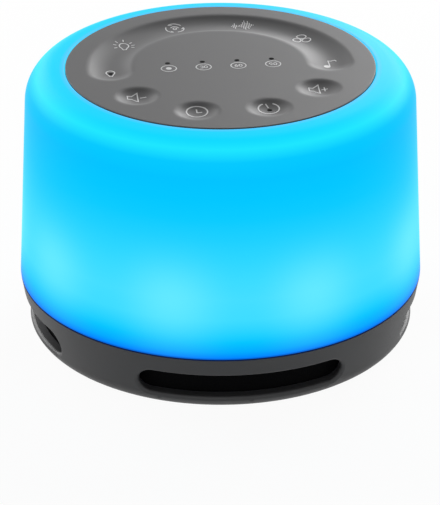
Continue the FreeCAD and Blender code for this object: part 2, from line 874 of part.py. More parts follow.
turned_body(
    "light_ring_board",
    [
        ("Dim.strip_in", "Dim.deck_top"),
        ("Dim.strip_out", "Dim.deck_top"),
        ("Dim.strip_out", "Dim.deck_top + Dim.strip_thick"),
        ("Dim.strip_in", "Dim.deck_top + Dim.strip_thick"),
    ],
)
lamp_solids = []
lens_solids = []
lamp_count = int(measure("Dim.lamp_count"))
lamp_size = ("Dim.lamp_side", "Dim.lamp_side", "Dim.lamp_tall")
lamp_z = "Dim.deck_top + Dim.strip_thick"
lens_z = f"{lamp_z} + Dim.lamp_tall - Dim.lens_deep"
for number in range(lamp_count):
    angle = 90 + 360 * number / lamp_count
    centre_x, centre_y = on_ring("Dim.lamp_ring", angle)
    back_x, back_y = on_ring("(Dim.lamp_ring - Dim.lamp_side / 2)", angle)
    side_x, side_y = on_ring("Dim.lamp_side / 2", angle - 90)
    corner = (f"{back_x} + {side_x}", f"{back_y} + {side_y}")
    lamp = block(f"lamp_block_{number}", lamp_size, *corner, lamp_z, angle)
    lens = ("Dim.lens_rad", "Dim.lens_deep")
    well = cylinder(f"lamp_well_{number}", *lens, centre_x, centre_y, lens_z)
    lamp_solids.append(cut(f"lamp_{number}", lamp, well))
    lens_solids.append(
        cylinder(f"lens_{number}", "Dim.lens_rad", "Dim.lens_deep - 0.05", centre_x, centre_y, lens_z)
    )
group("lamps", lamp_solids)
group("lamp_lenses", lens_solids)

# Loudspeaker, facing down through the deck

gasket = turned_body(
    "speaker_gasket",
    [
        ("Dim.gasket_in", "Dim.deck_top"),
        ("Dim.rim_rad", "Dim.deck_top"),
        ("Dim.rim_rad", "Dim.rim_low"),
        ("Dim.gasket_in", "Dim.rim_low"),
    ],
)
rim_holes = [(x, y, "Dim.small_clear") for x, y in rim_spots]
gasket_holes = circles(gasket, "gasket_hole_circles", rim_holes, lift="Dim.rim_low")
pocket(gasket, "gasket_holes", gasket_holes, "Dim.rim_low - Dim.deck_top")

basket = new_body("speaker_basket")
rim_top = "Dim.rim_low + Dim.rim_thick"
revolve(
    basket,
    "basket_bowl",
    [
        ("Dim.deck_hole + 0.4", "Dim.rim_low"),
        ("Dim.rim_rad", "Dim.rim_low"),
        ("Dim.rim_rad", rim_top),
        ("Dim.deck_hole + 1.2", rim_top),
        ("Dim.bowl_top_rad + Dim.bowl_wall", "Dim.bowl_top"),
        ("Dim.plate_hole + 0.6", "Dim.bowl_top"),
        ("Dim.plate_hole + 0.6", "Dim.bowl_top - Dim.bowl_wall"),
        ("Dim.bowl_top_rad", "Dim.bowl_top - Dim.bowl_wall"),
        ("Dim.deck_hole + 0.4", rim_top),
    ],
)
basket_holes = circles(basket, "basket_hole_circles", rim_holes, lift=rim_top)
pocket(basket, "basket_holes", basket_holes, "Dim.rim_thick")
WINDOW_CORNERS = [("-5.5", "20.5"), ("5.5", "20.5"), ("4", "27.5"), ("-4", "27.5")]
WINDOW_COUNT = 6
window = outline(basket, "window_shape", WINDOW_CORNERS)
window_cut = pocket(basket, "bowl_window", window, "Dim.rim_rad", reverse=True)
polar(basket, "bowl_windows", [window_cut], WINDOW_COUNT)
small_screws(
    "speaker_screws", rim_spots, "Dim.deck_top - Dim.small_bite", f"{rim_top} + Dim.small_head_tall"
)

turned_body(
    "magnet_plate",
    [
        ("Dim.plate_hole", "Dim.bowl_top"),
        ("Dim.plate_rad", "Dim.bowl_top"),
        ("Dim.plate_rad", "Dim.plate_top"),
        ("Dim.plate_hole", "Dim.plate_top"),
    ],
)
turned_body(
    "magnet_ring",
    [
        ("Dim.magnet_in", "Dim.plate_top"),
        ("Dim.magnet_rad", "Dim.plate_top"),
        ("Dim.magnet_rad", "Dim.magnet_top"),
        ("Dim.magnet_in", "Dim.magnet_top"),
    ],
)
turned_body(
    "magnet_yoke",
    [
        ("0", "Dim.pole_low"),
        ("Dim.pole_rad", "Dim.pole_low"),
        ("Dim.pole_rad", "Dim.magnet_top"),
        ("Dim.plate_rad", "Dim.magnet_top"),
        ("Dim.plate_rad", "Dim.yoke_top"),
        ("0", "Dim.yoke_top"),
    ],
)
roll_low = "Dim.rim_low - 0.4"
roll_in = "Dim.cone_edge_rad - 1"
roll_mid = "(Dim.cone_edge_rad + Dim.deck_hole - 0.2) / 2"
turned_body(
    "speaker_surround",
    [
        (roll_in, roll_low),
        ("Dim.cone_edge_rad", roll_low),
        (f"{roll_mid} - 0.5", f"{roll_low} - Dim.roll_dip"),
        (f"{roll_mid} + 0.5", f"{roll_low} - Dim.roll_dip"),
        ("Dim.deck_hole - 0.2", f"{roll_low} + 0.05"),
        ("Dim.roll_out", f"{roll_low} + 0.05"),
        ("Dim.roll_out", "Dim.rim_low"),
        ("Dim.deck_hole - 0.4", "Dim.rim_low"),
        (f"{roll_mid} + 0.3", f"{roll_low} - Dim.roll_dip + 0.5"),
        (f"{roll_mid} - 0.3", f"{roll_low} - Dim.roll_dip + 0.5"),
        ("Dim.cone_edge_rad + 0.2", "Dim.rim_low"),
        (roll_in, "Dim.rim_low"),
    ],
)
cone_neck = "Dim.former_low + 0.2"
turned_body(
    "speaker_cone",
    [
        (roll_in, "Dim.rim_low"),
        ("Dim.cone_edge_rad", "Dim.rim_low"),
        ("Dim.cone_edge_rad", "Dim.rim_low + Dim.cone_paper"),
        (f"{roll_in} + 0.1", "Dim.rim_low + Dim.cone_paper"),
        ("Dim.former_out + 0.5", f"{cone_neck} + Dim.cone_paper"),
        ("Dim.former_out", f"{cone_neck} + Dim.cone_paper"),
        ("Dim.former_out", cone_neck),
        ("Dim.former_out + 0.3", cone_neck),
    ],
)
turned_body(
    "dust_cap",
    [
        ("0", "Dim.former_low - 3.2"),
        ("3.4", "Dim.former_low - 2.6"),
        ("6.4", "Dim.former_low - 1.2"),
        ("Dim.former_out", "Dim.former_low - 0.3"),
        ("Dim.former_out", "Dim.former_low"),
        ("Dim.coil_in", "Dim.former_low"),
        ("6.2", "Dim.former_low - 0.85"),
        ("3.3", "Dim.former_low - 2.2"),
        ("0", "Dim.former_low - 2.8"),
    ],
)
turned_body(
    "coil_former",
    [
        ("Dim.coil_in", "Dim.former_low"),
        ("Dim.former_out", "Dim.former_low"),
        ("Dim.former_out", "Dim.former_top"),
        ("Dim.coil_in", "Dim.former_top"),
    ],
)
turned_body(
    "coil_winding",
    [
        ("Dim.former_out", "Dim.winding_low"),
        ("Dim.winding_out", "Dim.winding_low"),
        ("Dim.winding_out", "Dim.winding_top"),
        ("Dim.former_out", "Dim.winding_top"),
    ],
)
SPIDER_WAVES = 5
wave_pitch = f"(Dim.spider_out - Dim.former_out - 1.2) / {2 * SPIDER_WAVES}"
spider_under = [("Dim.former_out + 0.05", "Dim.spider_z")]
spider_over = [("Dim.former_out + 0.05", "Dim.spider_z + Dim.spider_thick")]
for step in range(2 * SPIDER_WAVES + 1):
    wave = 0.7 * (step % 2)
    spider_under.append((f"Dim.former_out + 0.6 + {step} * {wave_pitch}", f"Dim.spider_z + {wave}"))
    spider_over.append(
        (f"Dim.former_out + 0.6 + {step} * {wave_pitch}", f"Dim.spider_z + Dim.spider_thick + {wave}")
    )
spider_under.append(("Dim.spider_out", "Dim.spider_z"))
spider_over.append(("Dim.spider_out", "Dim.spider_z + Dim.spider_thick"))
turned_body("speaker_spider", spider_under + spider_over[::-1])
keep("speaker_terminals", block("speaker_terminals", ("1.2", "10", "5"), "-26.4", "-5", rim_top))

# Main board on four posts over the loudspeaker

board_top = "Dim.board_z + Dim.board_thick"
board = turned_body(
    "main_board",
    [
        ("0", "Dim.board_z"),
        ("Dim.board_rad", "Dim.board_z"),
        ("Dim.board_rad", board_top),
        ("0", board_top),
    ],
)
post_holes = [(x, y, "Dim.small_clear") for x, y in post_spots]
board_holes = circles(board, "board_hole_circles", post_holes, lift=board_top)
pocket(board, "board_holes", board_holes, "Dim.board_thick")
small_screws("board_screws", post_spots, "Dim.board_z - 6", f"{board_top} + Dim.small_head_tall")

# Parts on the board: size along X, Y and Z, then the lowest corner in X and Y

CHIPS = {
    "controller_chip": ((10.0, 10.0, 1.4), (-5.0, -5.0)),
    "amplifier_chip": ((5.0, 6.2, 1.6), (-17.0, -9.0)),
    "sound_memory_chip": ((5.3, 5.3, 1.8), (9.5, -2.6)),
    "clock_crystal": ((3.2, 11.0, 3.5), (-1.6, 8.0)),
}
WIRE_SOCKETS = {
    "speaker_socket": ((5.0, 8.0, 4.8), (-32.5, -4.0)),
    "lamp_socket": ((5.0, 8.0, 4.8), (27.5, -4.0)),
    "power_socket": ((8.0, 5.0, 4.8), (-4.0, 27.5)),
}
CAPACITOR_SPOTS = ((-14, 8), (-14, 16), (12, 13))
CAPACITOR_RAD = 3.15
CAPACITOR_TALL = 7.7
RIBBON_SOCKET = (14.0, 4.0, 2.0)
RIBBON_CORNER = (-7.0, -30.0)
RIBBON_WIDE = 11.0
RIBBON_THICK = 0.3
for name, (size, corner) in CHIPS.items():
    keep(name, block(name, size, *corner, board_top))
group(
    "filter_capacitors",
    [
        cylinder(f"capacitor_{number}", CAPACITOR_RAD, CAPACITOR_TALL, x, y, board_top)
        for number, (x, y) in enumerate(CAPACITOR_SPOTS)
    ],
)
group(
    "wire_sockets",
    [block(name, size, *corner, board_top) for name, (size, corner) in WIRE_SOCKETS.items()],
)
socket_tall = RIBBON_SOCKET[2]
ribbon_low = f"{board_top} + {socket_tall}"
ribbon_high = f"{touch_low} - {socket_tall}"
group(
    "ribbon_sockets",
    [
        block("board_ribbon_socket", RIBBON_SOCKET, *RIBBON_CORNER, board_top),
        block("touch_ribbon_socket", RIBBON_SOCKET, *RIBBON_CORNER, ribbon_high),
    ],
)
ribbon_size = (RIBBON_WIDE, RIBBON_THICK, f"{ribbon_high} - ({ribbon_low})")
keep(
    "touch_ribbon",
    block("touch_ribbon", ribbon_size, -RIBBON_WIDE / 2, "Dim.ribbon_y", ribbon_low),
)

# Power inlet: a small board hung under the deck, with its socket in the back opening

inlet = new_body("inlet_board")
inlet_outline = outline(
    inlet,
    "inlet_outline",
    [
        ("-Dim.inlet_half", "Dim.inlet_front_y"),
        ("Dim.inlet_half", "Dim.inlet_front_y"),
        ("Dim.inlet_half", "Dim.inlet_bevel_y"),
        ("Dim.inlet_nose_half", "Dim.inlet_nose_y"),
        ("-Dim.inlet_nose_half", "Dim.inlet_nose_y"),
        ("-Dim.inlet_half", "Dim.inlet_bevel_y"),
    ],
    role="XY_Plane",
    lift="Dim.inlet_board_low",
)
pad(inlet, "inlet_plate", inlet_outline, "Dim.inlet_board_thick")
inlet_holes = circles(
    inlet,
    "inlet_hole_circles",
    [(x, y, "Dim.inlet_hole_rad") for x, y in inlet_post_spots],
    lift=inlet_top,
)
pocket(inlet, "inlet_screw_holes", inlet_holes, "Dim.inlet_board_thick")
screws(
    "inlet_screws",
    inlet_post_spots,
    1.9,
    1.0,
    "Dim.small_shank_rad",
    "Dim.inlet_board_low - 1",
    "Dim.inlet_board_low + 6",
    head_down=True,
)
shell = new_body("inlet_shell")
shell_outer = stadium(
    shell,
    "shell_outside",
    "Dim.shell_wide / 2",
    "Dim.inlet_z - Dim.shell_tall / 2",
    "Dim.inlet_z + Dim.shell_tall / 2",
    "XZ_Plane",
)
shell_outer.setExpression("AttachmentOffset.Base.z", "-Dim.shell_face")
pad(shell, "shell_tube", shell_outer, "Dim.shell_long")
shell_inner = stadium(
    shell,
    "shell_inside",
    "Dim.shell_wide / 2 - Dim.shell_wall",
    "Dim.inlet_z - Dim.shell_tall / 2 + Dim.shell_wall",
    "Dim.inlet_z + Dim.shell_tall / 2 - Dim.shell_wall",
    "XZ_Plane",
)
shell_inner.setExpression("AttachmentOffset.Base.z", "-Dim.shell_face")
pocket(shell, "shell_mouth", shell_inner, "Dim.shell_long - 0.6", reverse=True)
tongue_y = "Dim.shell_face - Dim.shell_long + 0.6"
keep(
    "inlet_tongue",
    block("inlet_tongue", ("6.7", "Dim.shell_long - 1.6", "0.7"), "-3.35", tongue_y, "Dim.inlet_z - 0.35"),
)
port_plate = new_body("port_plate")
plate_outline = stadium(
    port_plate,
    "plate_outside",
    "Dim.port_wide / 2 + 0.8",
    "Dim.inlet_z - Dim.port_tall / 2 - 0.8",
    "Dim.inlet_z + Dim.port_tall / 2 + 0.8",
    "XZ_Plane",
)
plate_outline.setExpression("AttachmentOffset.Base.z", "-Dim.plate_face")
pad(port_plate, "plate_sheet", plate_outline, "0.8")
plate_hole = stadium(
    port_plate,
    "plate_hole_shape",
    "Dim.shell_wide / 2 + 0.1",
    "Dim.inlet_z - Dim.shell_tall / 2 - 0.1",
    "Dim.inlet_z + Dim.shell_tall / 2 + 0.1",
    "XZ_Plane",
)
plate_hole.setExpression("AttachmentOffset.Base.z", "-Dim.plate_face")
pocket(port_plate, "plate_hole", plate_hole, "0.8", reverse=True)

# Wires inside the housing, each pair along its real route

RUN_Z = 51.0
pair_gap = 1.7
wire_rad = 0.6
wire_bend = 2.0
lead_ring = measure("Dim.lead_ring")
strip_x = measure("Dim.strip_hole_x")
ring_top = measure("Dim.deck_top")
speaker_routes = [
    [(-26.4, side, 21.0), (-lead_ring, side, 21.0), (-lead_ring, side, RUN_Z), (-32.5, side, RUN_Z)]
    for side in (-pair_gap, pair_gap)
]
cable("speaker_leads", speaker_routes, wire_rad, wire_bend)
lamp_routes = [
    [
        (strip_x, side, ring_top),
        (strip_x, side, 12.5),
        (lead_ring, side, 12.5),
        (lead_ring, side, RUN_Z),
        (32.5, side, RUN_Z),
    ]
    for side in (-0.75, 0.75)
]
cable("lamp_leads", lamp_routes, wire_rad, wire_bend)
power_routes = [
    [(side, lead_ring, measure(inlet_top)), (side, lead_ring, RUN_Z), (side, 32.5, RUN_Z)]
    for side in (-0.75, 0.75)
]
cable("power_leads", power_routes, wire_rad, wire_bend)

# Check every object, then write one file for each sub-part

doc.recompute()
faults = [item.Name for item in doc.Objects if {"Invalid", "Error"} & set(item.State)]
if faults:
    raise RuntimeError("objects that failed: " + ", ".join(faults))
for label, item in NODES.items():
    if item.Shape.isNull() or not item.Shape.isValid() or not item.Shape.Solids:
        raise RuntimeError(label + " has no valid solid")

os.makedirs("parts", exist_ok=True)
for label, item in NODES.items():
    item.Shape.exportStep(os.path.join("parts", label + ".step"))
    box = item.Shape.BoundBox
    print(
        f"{label:20s} {len(item.Shape.Solids):2d} solids {item.Shape.Volume:10.1f} mm3"
        f"  z {box.ZMin:6.2f} to {box.ZMax:6.2f}"
    )
print(len(NODES), "nodes")
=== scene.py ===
"""Looks of a white noise sound machine with a glowing shade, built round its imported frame.

Everything is in metres in the frame's own axes: +Z up, the front towards -Y. Helper sizes that
are easier to read in millimetres are turned into metres by the constant MM.
"""

import json
import logging
import math
from dataclasses import dataclass, field
from enum import Enum
from typing import Iterable, Sequence

import bmesh
import bpy
from mathutils import Matrix, Vector


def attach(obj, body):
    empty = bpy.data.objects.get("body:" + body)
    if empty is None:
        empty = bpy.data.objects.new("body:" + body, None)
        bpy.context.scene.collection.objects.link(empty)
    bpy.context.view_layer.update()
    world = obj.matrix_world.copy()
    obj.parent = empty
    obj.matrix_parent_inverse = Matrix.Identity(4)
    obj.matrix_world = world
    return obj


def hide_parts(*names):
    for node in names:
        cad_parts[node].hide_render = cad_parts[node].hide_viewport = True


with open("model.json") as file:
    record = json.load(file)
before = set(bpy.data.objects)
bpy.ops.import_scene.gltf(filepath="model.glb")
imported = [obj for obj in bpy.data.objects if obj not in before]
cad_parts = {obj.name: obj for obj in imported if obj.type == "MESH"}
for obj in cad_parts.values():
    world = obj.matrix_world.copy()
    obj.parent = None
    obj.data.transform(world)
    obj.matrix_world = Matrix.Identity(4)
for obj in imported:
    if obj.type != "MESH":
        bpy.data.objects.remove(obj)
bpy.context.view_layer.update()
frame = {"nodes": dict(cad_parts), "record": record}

MM = 0.001
LOG = logging.getLogger("sound_machine")
Point2 = tuple[float, float]
Point3 = tuple[float, float, float]
Colour = tuple[float, float, float]
WHITE: Colour = (1.0, 1.0, 1.0)


def tone(red: int, green: int, blue: int) -> Colour:
    """Turn a colour as a screen shows it into linear light.

    Args:
        red: Red from 0 to 255.
        green: Green from 0 to 255.
        blue: Blue from 0 to 255.

    Returns:
        The linear colour, each channel from 0 to 1.
    """

    def channel(level: int) -> float:
        """Linear light of one channel."""
        share = level / 255
        return share / 12.92 if share <= 0.04045 else ((share + 0.055) / 1.055) ** 2.4

    return channel(red), channel(green), channel(blue)


class Sum:
    """A number in a shader, so that its maths reads as plain Python."""

    def __init__(self, shader: "Nodes", socket: bpy.types.NodeSocket) -> None:
        """Wrap a socket of a shader."""
        self.shader = shader
        self.socket = socket

    def _with(self, operation: str, *values: "Sum | float") -> "Sum":
        """Add a Math node."""
        return self.shader.node("ShaderNodeMath", {"operation": operation}, dict(enumerate(values)))

    def __add__(self, other: "Sum | float") -> "Sum":
        """Add."""
        return self._with("ADD", self, other)

    def __radd__(self, other: float) -> "Sum":
        """Add, reflected."""
        return self._with("ADD", other, self)

    def __sub__(self, other: "Sum | float") -> "Sum":
        """Subtract."""
        return self._with("SUBTRACT", self, other)

    def __rsub__(self, other: float) -> "Sum":
        """Subtract, reflected."""
        return self._with("SUBTRACT", other, self)

    def __mul__(self, other: "Sum | float") -> "Sum":
        """Multiply."""
        return self._with("MULTIPLY", self, other)

    def __rmul__(self, other: float) -> "Sum":
        """Multiply, reflected."""
        return self._with("MULTIPLY", other, self)

    def __truediv__(self, other: "Sum | float") -> "Sum":
        """Divide."""
        return self._with("DIVIDE", self, other)

    def __pow__(self, other: "Sum | float") -> "Sum":
        """Raise to a power."""
        return self._with("POWER", self, other)

    def __neg__(self) -> "Sum":
        """Turn the sign."""
        return self._with("MULTIPLY", self, -1.0)

    def cosine(self) -> "Sum":
        """Cosine of an angle in radians."""
        return self._with("COSINE", self)

    def sine(self) -> "Sum":
        """Sine of an angle in radians."""
        return self._with("SINE", self)

    def exponent(self) -> "Sum":
        """The exponential of this number."""
        return self._with("EXPONENT", self)

    def angle_over(self, across: "Sum") -> "Sum":
        """The angle whose height is this number over a distance across."""
        return self._with("ARCTAN2", self, across)

    def ramp(self, low: float, high: float) -> "Sum":
        """A smooth step from 0 at low to 1 at high."""
        settings = {"interpolation_type": "SMOOTHSTEP"}
        values = {"Value": self, "From Min": low, "From Max": high}
        return self.shader.node("ShaderNodeMapRange", settings, values, "Result")

    def bell(self, middle: float, width: float) -> "Sum":
        """A smooth hump of height 1 about a middle."""
        away = (self - middle) / width
        return (-(away * away)).exponent()


class Nodes:
    """A node tree whose nodes are added by one method."""

    def __init__(self, tree: bpy.types.NodeTree) -> None:
        """Wrap the tree of a material or a world."""
        self.tree = tree

    def set(self, socket: bpy.types.NodeSocket, value: object) -> None:
        """Give a socket a link or a plain value.

        Args:
            socket: The input socket.
            value: A Sum, a socket, a number or a colour.
        """
        if isinstance(value, Sum):
            value = value.socket
        if isinstance(value, bpy.types.NodeSocket):
            self.tree.links.new(value, socket)
        elif isinstance(value, (tuple, list)) and len(value) == 3 and socket.type == "RGBA":
            socket.default_value = (*value, 1.0)
        else:
            socket.default_value = value

    def node(self, kind: str, settings: dict, inputs: dict, output: str | int = 0) -> Sum:
        """Add a node.

        Args:
            kind: The node's type.
            settings: Its own settings. A ramp's stops are given as pairs under "stops".
            inputs: Values or links by the name or number of the socket.
            output: Name or number of the output that is wanted.

        Returns:
            The wanted output.
        """
        made = self.tree.nodes.new(kind)
        for key, value in settings.items():
            if key == "stops":
                self._fill_ramp(made.color_ramp, value)
            else:
                setattr(made, key, value)
        for key, value in inputs.items():
            self.set(made.inputs[key], value)
        return Sum(self, made.outputs[output])

    @staticmethod
    def _fill_ramp(ramp: bpy.types.ColorRamp, stops: Sequence[tuple[float, Colour]]) -> None:
        """Set the stops of a colour ramp."""
        while len(ramp.elements) < len(stops):
            ramp.elements.new(1.0)
        for element, (place, colour) in zip(ramp.elements, stops):
            element.position = place
            element.color = (*colour, 1.0)

    def seen(self) -> Sum:
        """1 for what the camera sees straight on, in a mirror or through glass, and 0 for other light."""
        kinds = ("Is Camera Ray", "Is Glossy Ray", "Is Transmission Ray")
        camera, mirror, glass = (self.node("ShaderNodeLightPath", {}, {}, kind) for kind in kinds)
        return (camera + mirror + glass).ramp(0.0, 1.0)


class Shader(Nodes):
    """A material's nodes."""

    def __init__(self, name: str) -> None:
        """Make the material with only its surface shader.

        Args:
            name: Name of the material.
        """
        self.material = bpy.data.materials.new(name)
        self.material.use_nodes = True
        super().__init__(self.material.node_tree)
        self.surface = self.tree.nodes["Principled BSDF"]
        self.output = self.tree.nodes["Material Output"]

    def place(self) -> tuple[Sum, Sum, Sum, Sum]:
        """The point on the piece, as a vector and as its three numbers."""
        spot = self.node("ShaderNodeTexCoord", {}, {}, "Object")
        parts = [self.node("ShaderNodeSeparateXYZ", {}, {0: spot}, axis) for axis in range(3)]
        return spot, parts[0], parts[1], parts[2]

    def noise(self, scale: float, detail: float = 2.0, spot: "Sum | None" = None) -> Sum:
        """Soft noise over the piece.

        Args:
            scale: How many features to the metre.
            detail: How many finer layers it has.
            spot: Where it is read, the place on the piece if left out.
        """
        values = {"Vector": spot or self.place()[0], "Scale": scale, "Detail": detail}
        return self.node("ShaderNodeTexNoise", {}, values, "Fac")

    def mix(self, share: "Sum | float", first: object, second: object, blend: str = "MIX") -> Sum:
        """Mix two colours."""
        settings = {"data_type": "RGBA", "blend_type": blend}
        return self.node("ShaderNodeMix", settings, {0: share, 6: first, 7: second}, 2)

    def bump(self, height: Sum, strength: float, distance: float) -> Sum:
        """Turn a height into a shaded normal."""
        values = {"Strength": strength, "Distance": distance, "Height": height}
        return self.node("ShaderNodeBump", {}, values, "Normal")

    def finish(self, **values: object) -> bpy.types.Material:
        """Set the surface shader's sockets, named with underscores, and hand the material over."""
        for name, value in values.items():
            self.set(self.surface.inputs[name.replace("_", " ")], value)
        return self.material


class Grain(Enum):
    """How the skin of a finish is broken up."""

    SATIN = "satin"
    WEAVE = "weave"
    BRUSHED = "brushed"
    PAPER = "paper"


@dataclass(frozen=True)
class Finish:
    """A plain finish: a colour that wanders a little, with a fine grain."""

    name: str
    colour: Colour
    roughness: float = 0.5
    metallic: float = 0.0
    grain: Grain = Grain.SATIN
    pitch: float = 0.25 * MM
    depth: float = 0.01 * MM
    wander: float = 0.12
    coat: float = 0.0
    specular: float = 0.5

    def height(self, shader: Shader) -> Sum:
        """The relief of the grain, from 0 to 1."""
        spot, x, y, z = shader.place()
        turns = 2 * math.pi / self.pitch
        if self.grain is Grain.WEAVE:
            around = y.angle_over(x) * 50 * MM
            return 0.5 + 0.25 * (around * turns).sine() + 0.25 * (z * turns).sine()
        if self.grain is Grain.BRUSHED:
            stretched = shader.node("ShaderNodeMapping", {}, {"Vector": spot, "Scale": (1, 1, 40)})
            return shader.noise(0.1 / self.pitch, 3.0, stretched)
        detail = 6.0 if self.grain is Grain.PAPER else 2.0
        return shader.noise(1 / self.pitch, detail)

    def make(self) -> bpy.types.Material:
        """Build the material."""
        shader = Shader(self.name)
        relief = self.height(shader)
        cloud = shader.noise(60.0, 3.0)
        darker = tuple(channel * (1 - self.wander) for channel in self.colour)
        lighter = tuple(min(1.0, channel * (1 + self.wander)) for channel in self.colour)
        return shader.finish(
            Base_Color=shader.mix(cloud, darker, lighter),
            Roughness=(self.roughness - 0.05) + 0.1 * cloud,
            Metallic=self.metallic,
            Coat_Weight=self.coat,
            Specular_IOR_Level=self.specular,
            Normal=shader.bump(relief, 0.35, self.depth),
        )


BASE_PLASTIC = Finish(
    "base_plastic", tone(66, 66, 67), 0.5, pitch=0.18 * MM, depth=0.004 * MM, wander=0.04, specular=0.42
)
FINISHES: dict[str, Finish] = {
    "base_plastic": BASE_PLASTIC,
    "white_plastic": Finish("white_plastic", tone(228, 229, 228), 0.55, wander=0.03),
    "black_plastic": Finish("black_plastic", tone(30, 30, 31), 0.5),
    "black_mesh": Finish("black_mesh", tone(9, 9, 10), 0.95, grain=Grain.WEAVE, pitch=0.6 * MM,
                         depth=0.15 * MM, specular=0.1),
    "rubber": Finish("rubber", tone(38, 38, 38), 0.8, depth=0.02 * MM, specular=0.3),
    "steel": Finish("steel", tone(190, 191, 194), 0.32, metallic=1.0, grain=Grain.BRUSHED),
    "ferrite": Finish("ferrite", tone(62, 62, 66), 0.6, metallic=0.4, depth=0.02 * MM),
    "board_green": Finish("board_green", tone(22, 92, 48), 0.35, coat=0.4),
    "board_white": Finish("board_white", tone(225, 226, 220), 0.4, coat=0.3, wander=0.03),
    "chip_black": Finish("chip_black", tone(34, 34, 36), 0.55),
    "can_metal": Finish("can_metal", tone(200, 201, 204), 0.28, metallic=1.0, grain=Grain.BRUSHED),
    "paper": Finish("paper", tone(44, 43, 41), 0.9, grain=Grain.PAPER, pitch=0.5 * MM, depth=0.06 * MM),
    "foam": Finish("foam", tone(36, 36, 36), 0.95, grain=Grain.PAPER, pitch=0.3 * MM, depth=0.08 * MM),
    "spider_cloth": Finish("spider_cloth", tone(186, 148, 78), 0.85, grain=Grain.WEAVE, depth=0.05 * MM),
    "copper": Finish("copper", tone(201, 120, 78), 0.3, metallic=1.0, grain=Grain.BRUSHED),
    "film": Finish("film", tone(214, 213, 205), 0.4, wander=0.04),
    "lens": Finish("lens", tone(230, 214, 170), 0.2, coat=0.6, wander=0.05),
    "wire": Finish("wire", tone(176, 28, 26), 0.4, coat=0.2),
}


@dataclass(frozen=True)
class GlowFinish:
    """The frosted shade, lit from inside by lamps that stand in a ring round its foot."""

    low: float
    high: float
    lamp_count: int
    lamp_height: float = 34.0 * MM
    lamp_spread: float = 9.5 * MM
    lamp_share: float = 0.62
    beam_power: float = 1.3
    # Painted shade: how high up the foot, and how strongly, the glow is darkened where the shade meets
    # the base.
    seam_shade_rise: float = 0.8 * MM
    seam_shade_share: float = 0.75
    body_wander: float = 0.02
    body: Colour = (0.0, 0.02, 0.09)
    lamp: Colour = tone(112, 238, 255)
    # Painted shade: the deep blue that the glow is darkened to at the shade's foot.
    seam_shade: Colour = tone(4, 56, 150)
    stops: tuple[tuple[float, Colour], ...] = (
        (0.0, tone(0, 112, 246)),
        (0.018, tone(0, 142, 255)),
        (0.037, tone(0, 168, 255)),
        (0.085, tone(4, 196, 255)),
        (0.118, tone(30, 207, 255)),
        (0.19, tone(62, 219, 255)),
        (0.287, tone(68, 221, 255)),
        (0.381, tone(58, 218, 255)),
        (0.473, tone(44, 213, 255)),
        (0.567, tone(28, 207, 255)),
        (0.66, tone(8, 202, 255)),
        (0.753, tone(0, 198, 255)),
        (0.844, tone(0, 194, 255)),
        (0.915, tone(4, 200, 255)),
        (0.960, tone(30, 230, 253)),
        (0.985, tone(14, 216, 253)),
        (0.996, tone(24, 212, 254)),
        # Painted highlight: the two paler stops at the very top whiten the glow along the lip round the
        # panel, as a painted reflection.
        (0.999, tone(70, 202, 254)),
        (1.0, tone(96, 198, 255)),
    )

    def make(self) -> bpy.types.Material:
        """Build the material: an even glow by height, brighter where the lamps stand, with painted shade
        at the foot and a painted highlight along the lip.
        """
        shader = Shader("shade_glow")
        spot, x, y, z = shader.place()
        level = (z - self.low) / (self.high - self.low)
        even = shader.node("ShaderNodeValToRGB", {"stops": self.stops}, {"Fac": level}, "Color")
        around = y.angle_over(x)
        turns = (around - math.pi / 2) * float(self.lamp_count)
        beam = (0.5 + 0.5 * turns.cosine()) ** self.beam_power
        lamp_share = beam * z.bell(self.lamp_height, self.lamp_spread) * self.lamp_share
        frost = shader.noise(2600.0, 2.0)
        cloud = shader.noise(30.0, 2.0)
        glow = shader.mix(lamp_share, even, self.lamp)
        # Painted shade: over the lowest 0.8 mm the glow is mixed towards deep blue, darkening the foot
        # where it meets the base.
        foot = 1 - z.ramp(self.low, self.low + self.seam_shade_rise)
        glow = shader.mix(foot * self.seam_shade_share, glow, self.seam_shade)
        return shader.finish(
            Base_Color=shader.mix(cloud * self.body_wander, self.body, self.lamp),
            Roughness=0.36 + 0.08 * frost,
            Emission_Color=glow,
            Emission_Strength=1.0,
            Specular_IOR_Level=0.015,
            Normal=shader.bump(frost, 0.12, 0.004 * MM),
        )


# Mesh helpers


def finish_mesh(name: str, mesh: bmesh.types.BMesh, smooth_deg: float = 35.0) -> bpy.types.Object:
    """Turn a bmesh into a smooth-shaded object in the scene.

    Args:
        name: Name of the piece.
        mesh: The mesh, which is freed.
        smooth_deg: Edges that turn by more than this many degrees stay sharp.

    Returns:
        The object.
    """
    bmesh.ops.remove_doubles(mesh, verts=mesh.verts, dist=1e-7)
    bmesh.ops.recalc_face_normals(mesh, faces=mesh.faces)
    data = bpy.data.meshes.new(name)
    mesh.to_mesh(data)
    mesh.free()
    data.shade_smooth()
    data.set_sharp_from_angle(angle=math.radians(smooth_deg))
    piece = bpy.data.objects.new(name, data)
    bpy.context.scene.collection.objects.link(piece)
    return piece


def grid_faces(mesh: bmesh.types.BMesh, rows: list[list[bmesh.types.BMVert]], closed: bool) -> None:
    """Join rings of points by four-sided faces.

    Args:
        mesh: The mesh.
        rows: The rings, each with the same number of points.
        closed: Whether the last ring joins the first.
    """
    pairs = list(zip(rows, rows[1:]))
    if closed:
        pairs.append((rows[-1], rows[0]))
    for low, high in pairs:
        count = len(low)
        for index in range(count):
            ahead = (index + 1) % count
            mesh.faces.new((low[index], low[ahead], high[ahead], high[index]))


def lathe(name: str, profile: Sequence[Point2], steps: int = 288) -> bpy.types.Object:
    """Turn a closed profile of radius and height round the upright axis.

    Args:
        name: Name of the piece.
        profile: The closed outline.
        steps: How many steps go round.

    Returns:
        The piece.
    """
    mesh = bmesh.new()
    rings = []
    for radius, height in profile:
        ring = []
        for step in range(steps):
            angle = 2 * math.pi * step / steps
            ring.append(mesh.verts.new((radius * math.cos(angle), radius * math.sin(angle), height)))
        rings.append(ring)
    grid_faces(mesh, rings, closed=True)
    return finish_mesh(name, mesh)


